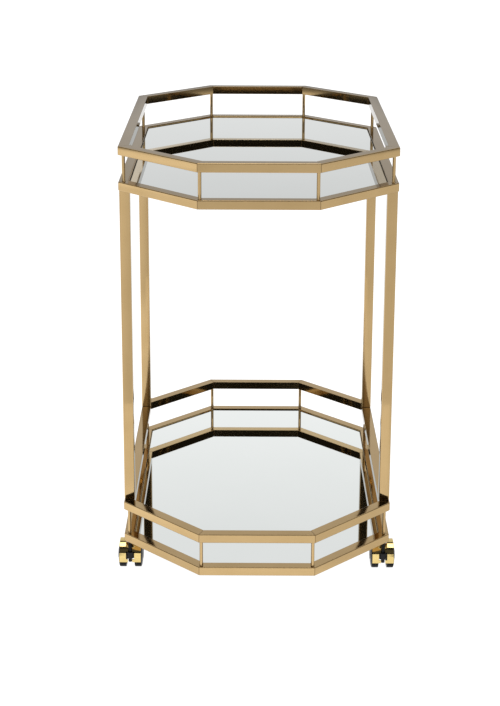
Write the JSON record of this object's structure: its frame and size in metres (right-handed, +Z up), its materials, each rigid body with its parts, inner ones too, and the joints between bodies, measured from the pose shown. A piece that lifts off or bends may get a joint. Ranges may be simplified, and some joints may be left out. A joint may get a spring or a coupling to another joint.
{
  "type": "bar cart",
  "caption": "Tall narrow bar cart with octagonal mirrored trays, gallery rails on slim posts, square legs and hooded swivel casters in a gold finish.",
  "frame": {"origin": "on the floor, below the centre of the cart", "axes": "+Z up, +Y along the cart's long side, from the front end to the rear end, and +X to the right seen from the front end"},
  "size_m": [0.518, 0.796, 0.808],
  "materials": {
    "gold_frame": "champagne gold plating with fine brushing along the tubes",
    "brass_hood": "polished bright brass plating",
    "mirror_glass": "clear silvered mirror",
    "backing_board": "matte black painted fibreboard",
    "zinc_steel": "zinc plated",
    "black_steel": "blackened",
    "black_nylon": "satin moulded nylon",
    "black_wheel": "glossy moulded plastic"
  },
  "bodies": {
    "cart": {"upper_gallery_rail": "gold_frame", "upper_shelf_frame": "gold_frame", "upper_shelf_ledge": "gold_frame", "upper_mirror": "mirror_glass", "upper_backing_board": "backing_board", "upper_gallery_post_1": "gold_frame", "upper_gallery_post_2": "gold_frame", "upper_gallery_post_3": "gold_frame", "upper_gallery_post_4": "gold_frame", "upper_gallery_post_5": "gold_frame", "upper_gallery_post_6": "gold_frame", "upper_gallery_post_7": "gold_frame", "upper_gallery_post_8": "gold_frame", "lower_gallery_rail": "gold_frame", "lower_shelf_frame": "gold_frame", "lower_shelf_ledge": "gold_frame", "lower_mirror": "mirror_glass", "lower_backing_board": "backing_board", "lower_gallery_post_1": "gold_frame", "lower_gallery_post_2": "gold_frame", "lower_gallery_post_3": "gold_frame", "lower_gallery_post_4": "gold_frame", "lower_gallery_post_5": "gold_frame", "lower_gallery_post_6": "gold_frame", "lower_gallery_post_7": "gold_frame", "lower_gallery_post_8": "gold_frame", "front_left_leg": "gold_frame", "front_left_caster_socket": "zinc_steel", "front_left_caster_stem": "black_steel", "front_right_leg": "gold_frame", "front_right_caster_socket": "zinc_steel", "front_right_caster_stem": "black_steel", "rear_right_leg": "gold_frame", "rear_right_caster_socket": "zinc_steel", "rear_right_caster_stem": "black_steel", "rear_left_leg": "gold_frame", "rear_left_caster_socket": "zinc_steel", "rear_left_caster_stem": "black_steel"},
    "front_left_caster": {"front_left_caster_core": "black_nylon", "front_left_caster_hood": "brass_hood", "front_left_caster_axle": "zinc_steel"},
    "front_left_left_wheel": {"front_left_caster_left_wheel": "black_wheel"},
    "front_left_right_wheel": {"front_left_caster_right_wheel": "black_wheel"},
    "front_right_caster": {"front_right_caster_core": "black_nylon", "front_right_caster_hood": "brass_hood", "front_right_caster_axle": "zinc_steel"},
    "front_right_left_wheel": {"front_right_caster_left_wheel": "black_wheel"},
    "front_right_right_wheel": {"front_right_caster_right_wheel": "black_wheel"},
    "rear_right_caster": {"rear_right_caster_core": "black_nylon", "rear_right_caster_hood": "brass_hood", "rear_right_caster_axle": "zinc_steel"},
    "rear_right_left_wheel": {"rear_right_caster_left_wheel": "black_wheel"},
    "rear_right_right_wheel": {"rear_right_caster_right_wheel": "black_wheel"},
    "rear_left_caster": {"rear_left_caster_core": "black_nylon", "rear_left_caster_hood": "brass_hood", "rear_left_caster_axle": "zinc_steel"},
    "rear_left_left_wheel": {"rear_left_caster_left_wheel": "black_wheel"},
    "rear_left_right_wheel": {"rear_left_caster_right_wheel": "black_wheel"}
  },
  "joints": [
    {"name": "front_left_swivel", "type": "hinge", "parent": "cart", "child": "front_left_caster", "pos_m": [-0.2355, -0.25598, 0.05], "axis": [0, 0, 1], "continuous": true},
    {"name": "front_left_left_wheel_spin", "type": "hinge", "parent": "front_left_caster", "child": "front_left_left_wheel", "pos_m": [-0.2355, -0.23397, 0.025], "axis": [1, 0, 0], "continuous": true},
    {"name": "front_left_right_wheel_spin", "type": "hinge", "parent": "front_left_caster", "child": "front_left_right_wheel", "pos_m": [-0.2355, -0.23397, 0.025], "axis": [1, 0, 0], "continuous": true},
    {"name": "front_right_swivel", "type": "hinge", "parent": "cart", "child": "front_right_caster", "pos_m": [0.2355, -0.25598, 0.05], "axis": [0, 0, 1], "continuous": true},
    {"name": "front_right_left_wheel_spin", "type": "hinge", "parent": "front_right_caster", "child": "front_right_left_wheel", "pos_m": [0.2355, -0.23397, 0.025], "axis": [1, 0, 0], "continuous": true},
    {"name": "front_right_right_wheel_spin", "type": "hinge", "parent": "front_right_caster", "child": "front_right_right_wheel", "pos_m": [0.2355, -0.23397, 0.025], "axis": [1, 0, 0], "continuous": true},
    {"name": "rear_right_swivel", "type": "hinge", "parent": "cart", "child": "rear_right_caster", "pos_m": [0.2355, 0.25598, 0.05], "axis": [0, 0, 1], "continuous": true},
    {"name": "rear_right_left_wheel_spin", "type": "hinge", "parent": "rear_right_caster", "child": "rear_right_left_wheel", "pos_m": [0.2355, 0.27798, 0.025], "axis": [1, 0, 0], "continuous": true},
    {"name": "rear_right_right_wheel_spin", "type": "hinge", "parent": "rear_right_caster", "child": "rear_right_right_wheel", "pos_m": [0.2355, 0.27798, 0.025], "axis": [1, 0, 0], "continuous": true},
    {"name": "rear_left_swivel", "type": "hinge", "parent": "cart", "child": "rear_left_caster", "pos_m": [-0.2355, 0.25598, 0.05], "axis": [0, 0, 1], "continuous": true},
    {"name": "rear_left_left_wheel_spin", "type": "hinge", "parent": "rear_left_caster", "child": "rear_left_left_wheel", "pos_m": [-0.2355, 0.27798, 0.025], "axis": [1, 0, 0], "continuous": true},
    {"name": "rear_left_right_wheel_spin", "type": "hinge", "parent": "rear_left_caster", "child": "rear_left_right_wheel", "pos_m": [-0.2355, 0.27798, 0.025], "axis": [1, 0, 0], "continuous": true}
  ]
}
